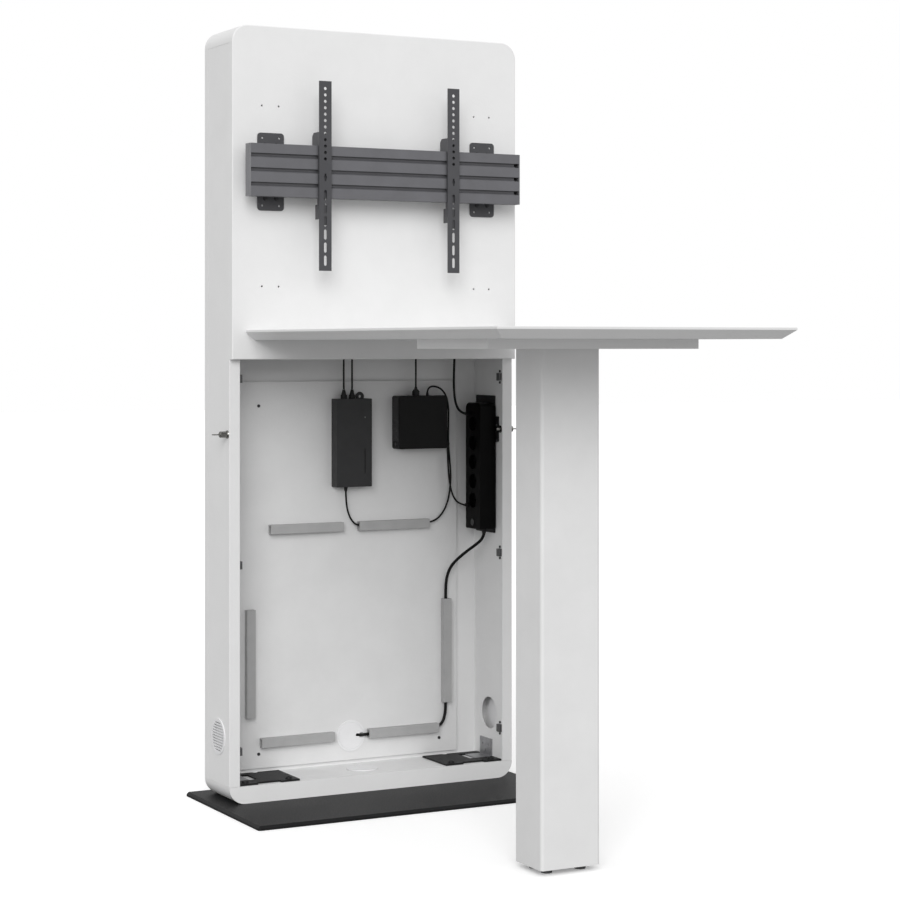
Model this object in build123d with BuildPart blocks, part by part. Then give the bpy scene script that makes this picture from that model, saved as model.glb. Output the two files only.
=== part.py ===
"""Free-standing display cabinet with a television rail, an open equipment bay and a docked standing table.

Millimetres. X runs along the cabinet front, Y runs into the cabinet, Z is up. The origin lies on the
floor, on the cabinet's centre line, in the front plane of the upper panel.
"""
import math
import os

from build123d import *

os.makedirs("parts", exist_ok=True)

# ---- driving dimensions: cabinet ------------------------------------------------------------
cab_width = 756.0
cab_height = 1820.0            # cabinet alone, standing on the base plate
corner_radius = 40.0           # outer corners seen from the front
panel_thick = 17.0             # upper front panel
body_depth = 133.0             # side panels and caps, front to back
rear_thick = 23.0              # rear panel
rear_skin = 10.0               # what is left behind the rear panel's recess
wall_thick = 27.0              # hollow side panels
sheet = 2.0                    # steel skins of side panels and caps
cap_height = 41.0              # bottom cap
top_cap_height = 43.0
panel_height = 781.0           # upper front panel
edge_round = 2.5
seam = 0.4                     # joint lines between painted panels
clear = 0.3                    # running clearance between pieces that move
hole_clear = 0.2               # radial clearance of a bolt in its hole

# ---- base plate ------------------------------------------------------------------------------
base_width = 817.0
base_front = -229.0
base_back = 217.0
base_thick = 10.0
base_bevel = 5.0

# ---- inner board and equipment bay -----------------------------------------------------------
board_width = 591.0
board_height = 932.0
board_thick = 8.0
board_screw_x = 245.5
board_screw_low = 34.0         # screw height above the board's lower edge
board_screw_high = 874.0
screw_radius = 2.2
screw_head_radius = 4.0
screw_head = 2.4
screw_length = 9.0

# ---- feet inside the bay ---------------------------------------------------------------------
foot_plate_width = 155.0
foot_plate_depth = 128.0
foot_plate_thick = 4.0
foot_cut_width = 65.0
foot_cut_front = 44.0          # foot plate's front edge to its cut-out
foot_cut_depth = 64.0
foot_notch_start = 48.0
foot_notch_end = 107.0
foot_notch_depth = 9.0
bracket_leg = 46.0
bracket_width = 60.0
bracket_thick = 3.0
floor_bolt_radius = 5.0
floor_bolt_head_radius = 8.5
floor_bolt_head = 4.5
floor_bolt_inset = (22.0, 133.0)
floor_bolt_y = 16.0            # from the foot plate's front edge

# ---- grommets and vents ----------------------------------------------------------------------
grommet_bore = 33.0
grommet_wall = 2.0
grommet_flange_radius = 38.0
grommet_flange = 2.0
grommet_height = 111.0         # rear grommet centre above the cabinet's underside
notch_width = 12.0
notch_start = 13.0             # rear cap's centre to its notch
vent_sleeve = 8.0              # how far a grille's sleeve reaches into the side panel
vent_filter = 1.2
floor_grommet_y = 90.0
vent_radius = 42.5
vent_y = 85.0
vent_height = 151.0
vent_slots = 11
vent_slot_height = 3.2
vent_thick = 2.0
vent_rim = 4.0

# ---- locks -----------------------------------------------------------------------------------
lock_y = 29.0
lock_height = 864.0
plunger_radius = 7.5
plunger_out = 20.0             # plunger standing out of the side panel, unlocked
plunger_travel = 12.0
barrel_wall = 1.5
barrel_flange_radius = 10.0
barrel_flange = 3.0
lock_bolt_radius = 4.0
core_radius = 4.5
core_depth = 18.0
key_bow_length = 13.0
key_bow_width = 13.0
key_thick = 2.4
key_stem = 6.0
strike_width = 12.0
strike_height = 63.0
strike_thick = 4.0
strike_y = 39.6
strike_screw = 19.0

# ---- magnetic catches ------------------------------------------------------------------------
catch_y = 28.0
catch_width = 15.0
catch_height = 19.0
catch_out = 7.0
catch_screw = 14.0
catch_heights = (121.5, 557.5, 994.0)   # above the cabinet's underside

# ---- television rail -------------------------------------------------------------------------
rail_length = 715.0
rail_height = 122.0
rail_depth = 28.0
rail_gap = 30.5                # panel face to the rail's back
rail_centre = 1478.5           # above the cabinet's underside
rail_wall = 3.0
groove_pitch = 33.5
groove_height = 10.0
groove_depth = 6.5
groove_lip = 4.5
latch_groove = 5.0
end_cap = 2.0
end_slot = 10.0
bracket_x = 282.0
rail_bracket_width = 67.0
rail_bracket_height = 182.0
rail_bracket_thick = 3.0
rail_bracket_round = 8.0
hat_width = 45.0
hat_height = 112.0
hat_sheet = 2.5
free_hole_x = 21.3
free_hole_z = 79.5
free_hole_radius = 2.7
bolt_x = 14.3
bolt_z = 62.5
m6_radius = 3.0
m6_head_radius = 5.2
m6_head = 3.2
spare_hole_up = 154.6          # spare bracket holes above and below the rail's centre
spare_hole_down = 268.4
spare_hole_radius = 2.5
crossbar = 40.0
crossbar_wall = 2.0

# ---- display strips --------------------------------------------------------------------------
strip_x = 170.0
strip_width = 31.5
strip_sheet = 2.5
strip_top = 212.5              # above the rail's centre
strip_bottom = 232.0
strip_flange = 12.0
strip_hole_radius = 3.75
strip_hole_pitch = 15.0
strip_first_hole = 17.5        # below the strip's top
strip_hole_count = 12
slot_length = 24.0
slot_pitch = 30.6
slot_count = 6
keyhole_down = 13.0            # rail's centre to the strip's keyhole
slot_end = 24.0                # strip's lower end to the centre of its lowest slot
hook_rise = 32.0
hook_drop = 19.0
hook_tooth = 5.2
latch_box_depth = 23.0
latch_box_height = 34.0
latch_box_drop = 16.0          # rail's underside to the latch box
latch_lip = 5.0
latch_tongue = 4.0
latch_reach = 4.0
latch_travel = 6.0
hook_chamfer = 8.0

# ---- table -----------------------------------------------------------------------------------
table_width = 688.0
table_length = 1202.0
table_thick = 23.0
table_top = 1118.0             # above the floor
table_edge = 5.0
table_undercut = 22.0
head_width = 500.0
head_depth = 305.0
head_thick = 20.0
leg_width = 140.0
leg_depth = 110.0
leg_y = 841.0                  # panel face to the leg's centre
leg_wall = 2.5
leg_round = 7.0
leg_lift = 11.0                # floor to the column's lower edge
leg_sole = 6.0
leg_sole_up = 2.5
glide_x = 40.0
glide_y = 24.0
glide_radius = 12.0
glide_foot = 5.0
glide_stem_radius = 4.0
glide_stem_clear = 0.06
glide_stem = 22.0
table_bolt_x = (-280.0, -95.0, 95.0, 280.0)
table_bolt_radius = 4.0
table_bolt_head_radius = 7.0
table_bolt_head = 5.0
table_bolt_grip = 60.0

# ---- ducts: centre x, centre height above the cabinet's underside, length, upright? ----------
duct_width = 22.0
duct_depth = 16.0
duct_sheet = 1.6
duct_level = 627.5
low_duct_level = 114.0
duct_long = 194.0
duct_tall = 260.0
duct_tall_centre = 306.0
ducts = (
    (-123.0, duct_level, duct_long, False),
    (114.0, duct_level, duct_long, False),
    (-146.0, low_duct_level, duct_long, False),
    (141.0, low_duct_level, duct_long, False),
    (-271.0, duct_tall_centre, duct_tall, True),
    (262.0, duct_tall_centre, duct_tall, True),
)

# ---- power supply, small computer, power strip -----------------------------------------------
psu_x, psu_low, psu_width, psu_height, psu_depth = -4.0, 725.0, 96.0, 216.5, 30.0
psu_slit_x = 28.5              # power supply's centre line to its slit
psu_slit_up = 63.0
psu_slit_length = 62.0
psu_lead_x = (-26.0, -3.5)
psu_tail_x = -20.5
psu_ear_x = 24.0
psu_ear_up = 5.0
psu_ear_radius = 11.0
psu_ear_hole = 3.6
relief_length = 23.0
tail_relief_length = 11.0
pc_x, pc_low, pc_width, pc_height, pc_depth, pc_round = 181.5, 815.0, 135.0, 132.0, 40.0, 6.0
pc_display_x = 170.0
pc_link_x = 202.0
pc_button_radius = 5.0
pc_button_travel = 1.2
pc_button_up = 12.0
pc_plug_down = 121.0           # computer's top face to the side plug
pc_plug_out = 11.0
pc_plug_elbow = 7.0            # computer's side to the centre of the turned-down plug
strip_box_front = 46.5
strip_box_depth = 76.0
strip_box_thick = 44.0
strip_box_low = 614.0
strip_box_height = 315.0
strip_box_round = 16.0
plate_front = 52.4
plate_depth = 96.0
plate_low = 604.0
plate_height = 343.0
plate_thick = 3.0
outlet_count = 5
outlet_pitch = 48.0
outlet_radius = 19.0
outlet_depth = 12.0
button_radius = 9.0
button_travel = 2.5
button_up = 17.0
gland_radius = 7.0
gland_length = 12.0
socket_gland_length = 8.0

# ---- leads -----------------------------------------------------------------------------------
thin_lead = 4.5
strip_lead = 6.0
mains_lead_size = 7.5
coupler_low = 1170.0           # coupler bar, above the cabinet's underside
coupler_height = 30.0
coupler_depth = 34.0
coupler_left, coupler_right = -60.0, 310.0
coil_mean = 41.0
coil_half_band = 15.0
coil_height = 15.5
coil_x, coil_y = 47.0, 317.0
plug_length = 30.0
plug_width = 27.0
plug_height = 23.0
plug_relief = 24.0
plug_gap = 12.0                # coil's edge to the plug's strain relief
pin_pitch = 19.0
pin_radius = 2.4
pin_length = 19.0

# ---- places that follow from the values above ------------------------------------------------
ground = base_thick
cab_half = cab_width / 2
inner_x = cab_half - wall_thick
body_front = panel_thick
body_back = body_front + body_depth
cab_back = body_back + rear_thick
floor_z = ground + cap_height
cab_top = ground + cab_height
top_cap_low = cab_top - top_cap_height
panel_low = cab_top - panel_height
board_back = cab_back - rear_skin
board_front = board_back - board_thick
board_low = floor_z + 11.0
lock_z = ground + lock_height
rail_z = ground + rail_centre
rail_back = -rail_gap
rail_front = rail_back - rail_depth
rail_top = rail_z + rail_height / 2
rail_low = rail_z - rail_height / 2
strip_face = rail_front - clear - strip_sheet - 4.2
table_low = table_top - table_thick
head_low = table_low - head_thick
duct_front = board_front - duct_depth
duct_mid = board_front - duct_depth / 2
coil_reach = math.sqrt((coil_mean + coil_half_band) ** 2 - coil_mean ** 2)
plug_x = coil_x + coil_reach + plug_gap
tail_z = plug_height / 2
mid_body_y = (body_front + body_back) / 2


def save(piece, name):
    """Label a finished piece and write it under that name."""
    piece.part.label = name
    export_step(piece.part, f"parts/{name}.step")


# ==== base plate ==============================================================================
foot_bolts = [(side * (inner_x - inset), body_front + 5.0 + floor_bolt_y)
              for side in (-1, 1) for inset in floor_bolt_inset]
with BuildPart() as base_plate:
    with BuildSketch(Plane.XY):
        with Locations((0, (base_front + base_back) / 2)):
            RectangleRounded(base_width, base_back - base_front, 6)
    extrude(amount=base_thick)
    chamfer(base_plate.faces().sort_by(Axis.Z)[-1].outer_wire().edges(), base_bevel)
    with BuildSketch(Plane.XY):
        with Locations(*foot_bolts):
            Circle(floor_bolt_radius + hole_clear)
        with Locations((0, floor_grommet_y)):
            Circle(grommet_bore + grommet_wall + hole_clear)
    extrude(amount=base_thick, mode=Mode.SUBTRACT)
save(base_plate, "base_plate")


# ==== cabinet body ============================================================================
def cap(low, high, plate_holes):
    """A closed sheet-steel cap, cut from the cabinet's rounded outline between two heights."""
    with BuildPart() as shell:
        with BuildSketch(Plane.XZ.offset(-body_back)):
            with Locations((0, ground + cab_height / 2)):
                RectangleRounded(cab_width, cab_height, corner_radius)
            with Locations((0, (low + high) / 2)):
                Rectangle(cab_width + 2, high - low, mode=Mode.INTERSECT)
        extrude(amount=body_depth)
        with BuildSketch(Plane.XZ.offset(-body_back + sheet)):
            with Locations((0, ground + cab_height / 2)):
                RectangleRounded(cab_width - 2 * sheet, cab_height - 2 * sheet, corner_radius - sheet)
            with Locations((0, (low + high) / 2)):
                Rectangle(cab_width + 2, high - low - 2 * sheet, mode=Mode.INTERSECT)
        extrude(amount=body_depth - 2 * sheet, mode=Mode.SUBTRACT)
        for x, y, radius in plate_holes:
            with BuildSketch(Plane.XY.offset(low - 1)):
                with Locations((x, y)):
                    Circle(radius)
            extrude(amount=high - low + 2, mode=Mode.SUBTRACT)
    return shell


floor_holes = [(x, y, floor_bolt_radius + hole_clear) for x, y in foot_bolts]
floor_holes.append((0, floor_grommet_y, grommet_bore + grommet_wall + hole_clear))
bottom_cap = cap(ground, floor_z - seam, floor_holes)
save(bottom_cap, "bottom_cap")
top_cap = cap(top_cap_low + seam, cab_top, [])
save(top_cap, "top_cap")

barrel_radius = plunger_radius + clear + barrel_wall
for side, name in ((-1, "left"), (1, "right")):
    with BuildPart() as side_panel:
        with BuildSketch(Plane.XY.offset(floor_z)):
            with Locations((side * (cab_half - wall_thick / 2), mid_body_y)):
                RectangleRounded(wall_thick, body_depth, 1.5)
                Rectangle(wall_thick - 2 * sheet, body_depth - 2 * sheet, mode=Mode.SUBTRACT)
        extrude(amount=top_cap_low - floor_z)
        with BuildSketch(Plane.YZ.offset(side * cab_half - (wall_thick + 1) * max(side, 0) - min(side, 0))):
            with Locations((vent_y, ground + vent_height)):
                Circle(vent_radius - 3)
            with Locations((lock_y, lock_z)):
                Circle(barrel_radius + hole_clear)
        extrude(amount=wall_thick + 2, both=True, mode=Mode.SUBTRACT)
    save(side_panel, f"side_panel_{name}")

grommet_z = ground + grommet_height
with BuildPart() as rear_panel:
    with BuildSketch(Plane.XZ.offset(-cab_back)):
        with Locations((0, ground + cab_height / 2)):
            RectangleRounded(cab_width, cab_height, corner_radius)
    extrude(amount=rear_thick)
    fillet(rear_panel.faces().sort_by(Axis.Y)[-1].edges(), edge_round)
    with BuildSketch(Plane.XZ.offset(-body_back)):
        with Locations((0, (floor_z + top_cap_low) / 2)):
            Rectangle(2 * inner_x, top_cap_low - floor_z)
    extrude(amount=-(rear_thick - rear_skin), mode=Mode.SUBTRACT)
    with BuildSketch(Plane.XZ.offset(-cab_back)):
        with Locations((0, grommet_z)):
            Circle(grommet_bore + grommet_wall + hole_clear)
    extrude(amount=rear_thick, mode=Mode.SUBTRACT)
save(rear_panel, "rear_panel")

bracket_bolts = [(side * bracket_x + dx, rail_z + dz)
                 for side in (-1, 1) for dx in (-bolt_x, bolt_x) for dz in (-bolt_z, bolt_z)]
spare_holes = [(side * bracket_x + dx, rail_z + dz)
               for side in (-1, 1) for dx in (-free_hole_x, free_hole_x)
               for dz in (spare_hole_up, -spare_hole_down)]
table_bolt_z = (table_low + table_top) / 2
with BuildPart() as front_panel:
    with BuildSketch(Plane.XZ):
        with Locations((0, ground + cab_height / 2)):
            RectangleRounded(cab_width, cab_height, corner_radius)
        with Locations((0, (ground + panel_low) / 2)):
            Rectangle(cab_width + 2, panel_low - ground, mode=Mode.SUBTRACT)
    extrude(amount=-panel_thick)
    fillet(front_panel.faces().sort_by(Axis.Y)[0].edges(), edge_round)
    with BuildSketch(Plane.XZ):
        with Locations(*bracket_bolts):
            Circle(m6_radius + hole_clear)
        with Locations(*spare_holes):
            Circle(spare_hole_radius)
        with Locations(*[(x, table_bolt_z) for x in table_bolt_x]):
            Circle(table_bolt_radius + hole_clear)
    extrude(amount=-panel_thick, mode=Mode.SUBTRACT)
save(front_panel, "front_panel")

# The small computer covers the fourth corner, so three screws hold the board.
board_screws = [(-board_screw_x, board_low + board_screw_low), (board_screw_x, board_low + board_screw_low),
                (-board_screw_x, board_low + board_screw_high)]
with BuildPart() as mounting_board:
    with BuildSketch(Plane.XZ.offset(-board_back)):
        with Locations((0, board_low + board_height / 2)):
            RectangleRounded(board_width, board_height, 3)
        with Locations((0, grommet_z)):
            Circle(grommet_bore + grommet_wall + hole_clear, mode=Mode.SUBTRACT)
        with Locations(*board_screws):
            Circle(screw_radius + hole_clear, mode=Mode.SUBTRACT)
    extrude(amount=board_thick)
save(mounting_board, "mounting_board")

# ==== small screws: board, catches and strike plates ==========================================
catch_places = [(side, ground + up) for side in (-1, 1) for up in catch_heights]
with BuildPart() as cabinet_screws:
    for x, z in board_screws:
        with BuildSketch(Plane.XZ.offset(-board_front)):
            with Locations((x, z)):
                Circle(screw_head_radius)
        extrude(amount=screw_head, taper=18)
        with BuildSketch(Plane.XZ.offset(-board_front)):
            with Locations((x, z)):
                Circle(screw_radius)
        extrude(amount=-board_thick)
    for side, z in catch_places:
        for dz in (-catch_screw, catch_screw):
            wall = Plane.YZ.offset(side * inner_x)
            with BuildSketch(wall):
                with Locations((catch_y, z + dz)):
                    Circle(screw_head_radius - 1)
            extrude(amount=-side * screw_head)
    for side in (-1, 1):
        for dz in (-strike_screw, strike_screw):
            wall = Plane.YZ.offset(side * (inner_x - strike_thick))
            with BuildSketch(wall):
                with Locations((strike_y, lock_z - 10 + dz)):
                    Circle(screw_head_radius)
            extrude(amount=-side * screw_head, taper=18)
save(cabinet_screws, "cabinet_screws")

# ==== crossbars between the side panels =======================================================
bars = (rail_z + bolt_z, rail_z - bolt_z, table_bolt_z)
with BuildPart() as crossbars:
    for z in bars:
        with BuildSketch(Plane.YZ.offset(-inner_x)):
            with Locations((body_front + crossbar / 2, z)):
                RectangleRounded(crossbar, crossbar, 3)
                Rectangle(crossbar - 2 * crossbar_wall, crossbar - 2 * crossbar_wall, mode=Mode.SUBTRACT)
        extrude(amount=2 * inner_x)
    with BuildSketch(Plane.XZ.offset(-body_front)):
        with Locations(*bracket_bolts):
            Circle(m6_radius + hole_clear)
        with Locations(*[(x, table_bolt_z) for x in table_bolt_x]):
            Circle(table_bolt_radius + hole_clear)
    extrude(amount=-crossbar, mode=Mode.SUBTRACT)
save(crossbars, "crossbars")

# ==== feet inside the bay =====================================================================
foot_front = body_front + 5.0
with BuildPart() as foot_plates:
    for side in (-1, 1):
        with BuildSketch(Plane.XY.offset(floor_z)):
            with Locations((side * (inner_x - foot_plate_width / 2), foot_front + foot_plate_depth / 2)):
                Rectangle(foot_plate_width, foot_plate_depth)
            with Locations((side * (inner_x - foot_cut_width / 2),
                            foot_front + foot_cut_front + foot_cut_depth / 2)):
                Rectangle(foot_cut_width, foot_cut_depth, mode=Mode.SUBTRACT)
            with Locations((side * (inner_x - (foot_notch_start + foot_notch_end) / 2),
                            foot_front + foot_notch_depth / 2)):
                Rectangle(foot_notch_end - foot_notch_start, foot_notch_depth, mode=Mode.SUBTRACT)
            with Locations((side * (inner_x - foot_plate_width * 0.6), foot_front + foot_plate_depth)):
                Circle(7, mode=Mode.SUBTRACT)
            with Locations(*foot_bolts):
                Circle(floor_bolt_radius + hole_clear, mode=Mode.SUBTRACT)
        extrude(amount=foot_plate_thick)
save(foot_plates, "foot_plates")

bracket_y = foot_front + foot_cut_front + foot_cut_depth / 2
with BuildPart() as angle_brackets:
    for side in (-1, 1):
        with BuildSketch(Plane.XZ.offset(-(bracket_y + bracket_width / 2))):
            with BuildLine():
                Polyline(
                    (side * inner_x, floor_z),
                    (side * (inner_x - bracket_leg), floor_z),
                    (side * (inner_x - bracket_leg), floor_z + bracket_thick),
                    (side * (inner_x - bracket_thick), floor_z + bracket_thick),
                    (side * (inner_x - bracket_thick), floor_z + bracket_leg),
                    (side * inner_x, floor_z + bracket_leg),
                    close=True,
                )
            make_face()
        extrude(amount=bracket_width)
        with BuildSketch(Plane.YZ.offset(side * inner_x)):
            with Locations((bracket_y - 14, floor_z + 30), (bracket_y + 14, floor_z + 30), (bracket_y, floor_z + 14)):
                Circle(3)
        extrude(amount=-side * bracket_thick, mode=Mode.SUBTRACT)
save(angle_brackets, "angle_brackets")

with BuildPart() as floor_bolts:
    for x, y in foot_bolts:
        with BuildSketch(Plane.XY.offset(floor_z + foot_plate_thick)):
            with Locations((x, y)):
                Circle(floor_bolt_head_radius)
        extrude(amount=floor_bolt_head, taper=25)
        with BuildSketch(Plane.XY.offset(floor_z + foot_plate_thick + floor_bolt_head)):
            with Locations((x, y)):
                RegularPolygon(3.4, 6)
        extrude(amount=-3, mode=Mode.SUBTRACT)
        with BuildSketch(Plane.XY.offset(1.5)):
            with Locations((x, y)):
                Circle(floor_bolt_radius)
        extrude(amount=floor_z + foot_plate_thick - 1.5)
save(floor_bolts, "floor_bolts")

# ==== magnetic catches ========================================================================
with BuildPart() as magnetic_catches:
    for side, z in catch_places:
        with BuildSketch(Plane.YZ.offset(side * inner_x)):
            with Locations((catch_y, z)):
                RectangleRounded(catch_width, catch_height, 2)
        extrude(amount=-side * catch_out)
        with BuildSketch(Plane.XZ.offset(-(catch_y - catch_width / 2))):
            with Locations((side * (inner_x - catch_out / 2), z)):
                Rectangle(1.2, catch_height - 4)
        extrude(amount=-2, mode=Mode.SUBTRACT)
save(magnetic_catches, "magnetic_catches")

# ==== vents ===================================================================================
with BuildPart() as vent_grilles:
    for side in (-1, 1):
        with BuildSketch(Plane.YZ.offset(side * cab_half)):
            with Locations((vent_y, ground + vent_height)):
                Circle(vent_radius)
        extrude(amount=side * vent_thick)
        with BuildSketch(Plane.YZ.offset(side * cab_half)):
            with Locations((vent_y, ground + vent_height)):
                Circle(vent_radius - 3 - hole_clear)
                Circle(vent_radius - 3 - hole_clear - 1.6, mode=Mode.SUBTRACT)
        extrude(amount=-side * vent_sleeve)
        with BuildSketch(Plane.YZ.offset(side * (cab_half - vent_sleeve))):
            with Locations((vent_y, ground + vent_height)):
                Circle(vent_radius - 3 - hole_clear)
        extrude(amount=side * vent_filter)
        slot_step = 2 * (vent_radius - vent_rim) / (vent_slots + 1)
        with BuildSketch(Plane.YZ.offset(side * cab_half)):
            for i in range(vent_slots):
                up = (i - (vent_slots - 1) / 2) * slot_step
                half = math.sqrt((vent_radius - vent_rim - 2) ** 2 - up ** 2)
                with Locations((vent_y, ground + vent_height + up)):
                    SlotOverall(2 * half, vent_slot_height)
        extrude(amount=side * vent_thick, mode=Mode.SUBTRACT)
save(vent_grilles, "vent_grilles")

# ==== grommets ================================================================================
ring_outer = grommet_bore + grommet_wall
with BuildPart() as grommet_rings:
    with BuildSketch(Plane.XZ.offset(-board_front)):
        with Locations((0, grommet_z)):
            Circle(grommet_flange_radius)
            Circle(grommet_bore, mode=Mode.SUBTRACT)
    extrude(amount=grommet_flange)
    with BuildSketch(Plane.XZ.offset(-cab_back)):
        with Locations((0, grommet_z)):
            Circle(ring_outer)
            Circle(grommet_bore, mode=Mode.SUBTRACT)
    extrude(amount=cab_back - board_front)
    with BuildSketch(Plane.XY.offset(floor_z)):
        with Locations((0, floor_grommet_y)):
            Circle(grommet_flange_radius)
            Circle(grommet_bore, mode=Mode.SUBTRACT)
    extrude(amount=grommet_flange)
    with BuildSketch(Plane.XY.offset(2)):
        with Locations((0, floor_grommet_y)):
            Circle(ring_outer)
            Circle(grommet_bore, mode=Mode.SUBTRACT)
    extrude(amount=floor_z - 2)
save(grommet_rings, "grommet_rings")

cap_radius = grommet_bore - clear
with BuildPart() as rear_grommet_cap:
    with BuildSketch(Plane.XZ.offset(-board_front)):
        with Locations((0, grommet_z)):
            Circle(cap_radius)
        with Locations(((notch_start + cap_radius + 4) / 2, grommet_z)):
            SlotOverall(cap_radius + 4 - notch_start, notch_width, mode=Mode.SUBTRACT)
    extrude(amount=grommet_flange)
save(rear_grommet_cap, "rear_grommet_cap")

with BuildPart() as floor_grommet_cap:
    with BuildSketch(Plane.XY.offset(floor_z)):
        with Locations((0, floor_grommet_y)):
            Circle(cap_radius)
        with Locations((0, floor_grommet_y + cap_radius)):
            Rectangle(notch_width, notch_width * 2, mode=Mode.SUBTRACT)
    extrude(amount=grommet_flange)
    with BuildSketch(Plane.XY.offset(floor_z - 6)):
        with Locations((0, floor_grommet_y)):
            Circle(cap_radius - 3)
            Circle(cap_radius - 5, mode=Mode.SUBTRACT)
        with Locations((0, floor_grommet_y + cap_radius)):
            Rectangle(notch_width, notch_width * 2, mode=Mode.SUBTRACT)
    extrude(amount=6)
save(floor_grommet_cap, "floor_grommet_cap")

# ==== push locks ==============================================================================
# Each lock: a flanged barrel through the side panel, a plunger that is pushed in to lock, a key core.
with BuildPart() as lock_barrels:
    for side in (-1, 1):
        with BuildSketch(Plane.YZ.offset(side * cab_half)):
            with Locations((lock_y, lock_z)):
                Circle(barrel_flange_radius)
        extrude(amount=side * barrel_flange, taper=20)
        with BuildSketch(Plane.YZ.offset(side * inner_x)):
            with Locations((lock_y, lock_z)):
                Circle(barrel_radius)
        extrude(amount=side * wall_thick)
        with BuildSketch(Plane.YZ.offset(side * (inner_x + 3))):
            with Locations((lock_y, lock_z)):
                Circle(plunger_radius + clear)
        extrude(amount=side * (wall_thick + barrel_flange), mode=Mode.SUBTRACT)
        with BuildSketch(Plane.YZ.offset(side * inner_x)):
            with Locations((lock_y, lock_z)):
                Circle(lock_bolt_radius + clear)
        extrude(amount=side * 3, mode=Mode.SUBTRACT)
save(lock_barrels, "lock_barrels")

# The left plunger stands out, unlocked; the right one is pushed in, so its bolt stands out into the bay.
for side, name, pushed in ((-1, "left", 0.0), (1, "right", plunger_travel)):
    plunger_tip = cab_half + plunger_out - pushed
    plunger_back = inner_x + 3 + plunger_travel + clear - pushed
    with BuildPart() as lock_plunger:
        with BuildSketch(Plane.YZ.offset(side * plunger_back)):
            with Locations((lock_y, lock_z)):
                Circle(plunger_radius)
        extrude(amount=side * (plunger_tip - plunger_back))
        chamfer(lock_plunger.faces().sort_by(Axis.X)[0 if side < 0 else -1].edges(), 1.5)
        with BuildSketch(Plane.YZ.offset(side * (inner_x + 0.5 - pushed))):
            with Locations((lock_y, lock_z)):
                Circle(lock_bolt_radius)
        extrude(amount=side * (plunger_back + pushed - inner_x - 0.5))
        with BuildSketch(Plane.YZ.offset(side * (plunger_tip - core_depth))):
            with Locations((lock_y, lock_z)):
                Circle(core_radius + 0.06)
        extrude(amount=side * core_depth, mode=Mode.SUBTRACT)
    save(lock_plunger, f"lock_plunger_{name}")

    with BuildPart() as lock_key:
        with BuildSketch(Plane.YZ.offset(side * (plunger_tip - core_depth + clear))):
            with Locations((lock_y, lock_z)):
                Circle(core_radius)
        extrude(amount=side * (core_depth - clear + 1))
        with BuildSketch(Plane.XY.offset(lock_z - key_thick / 2)):
            with Locations((side * (plunger_tip + key_stem / 2), lock_y)):
                Rectangle(key_stem, 5)
            with Locations((side * (plunger_tip + key_stem + key_bow_length / 2 - 1), lock_y)):
                RectangleRounded(key_bow_length, key_bow_width, 4.5)
            with Locations((side * (plunger_tip + key_stem + key_bow_length - 5), lock_y)):
                Circle(2, mode=Mode.SUBTRACT)
        extrude(amount=key_thick)
    save(lock_key, f"lock_key_{name}")

with BuildPart() as strike_plates:
    for side in (-1, 1):
        with BuildSketch(Plane.YZ.offset(side * inner_x)):
            with Locations((strike_y, lock_z)):
                RectangleRounded(strike_width, strike_height, 3)
        extrude(amount=-side * strike_thick)
save(strike_plates, "strike_plates")

# ==== television rail =========================================================================
groove_levels = [rail_z + n * groove_pitch for n in (-1, 0, 1)]
with BuildPart() as rail:
    with BuildSketch(Plane.YZ.offset(-rail_length / 2 + end_cap)):
        with Locations(((rail_front + rail_back) / 2, rail_z)):
            Rectangle(rail_depth, rail_height)
        with Locations(((rail_front + rail_back + groove_depth) / 2, rail_z + latch_groove / 2)):
            Rectangle(rail_depth - 2 * rail_wall - groove_depth, rail_height - 2 * rail_wall - latch_groove,
                      mode=Mode.SUBTRACT)
        for z in groove_levels:
            with BuildLine():
                Polyline(
                    (rail_front, z + groove_height / 2),
                    (rail_front + groove_depth, z + groove_height / 2),
                    (rail_front + groove_depth, z - groove_height / 2 + groove_lip),
                    (rail_front, z - groove_height / 2),
                    close=True,
                )
            make_face(mode=Mode.SUBTRACT)
        with Locations(((rail_front + rail_back) / 2 + 2, rail_low + latch_groove / 2)):
            Rectangle(latch_tongue + 4 * clear, latch_groove, mode=Mode.SUBTRACT)
    extrude(amount=rail_length - 2 * end_cap)
    with BuildSketch(Plane.XZ.offset(-rail_front)):
        with Locations(*[(rail_length / 2 - end_cap - 1 - end_slot / 2, z) for z in groove_levels]):
            Rectangle(end_slot, groove_height - 1)
    extrude(amount=-groove_depth - rail_wall - 1, mode=Mode.SUBTRACT)
save(rail, "rail")

with BuildPart() as rail_end_caps:
    for side in (-1, 1):
        with BuildSketch(Plane.YZ.offset(side * (rail_length / 2 - end_cap))):
            with Locations(((rail_front + rail_back) / 2, rail_z)):
                RectangleRounded(rail_depth, rail_height, 1.5)
        extrude(amount=side * end_cap)
save(rail_end_caps, "rail_end_caps")

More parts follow.
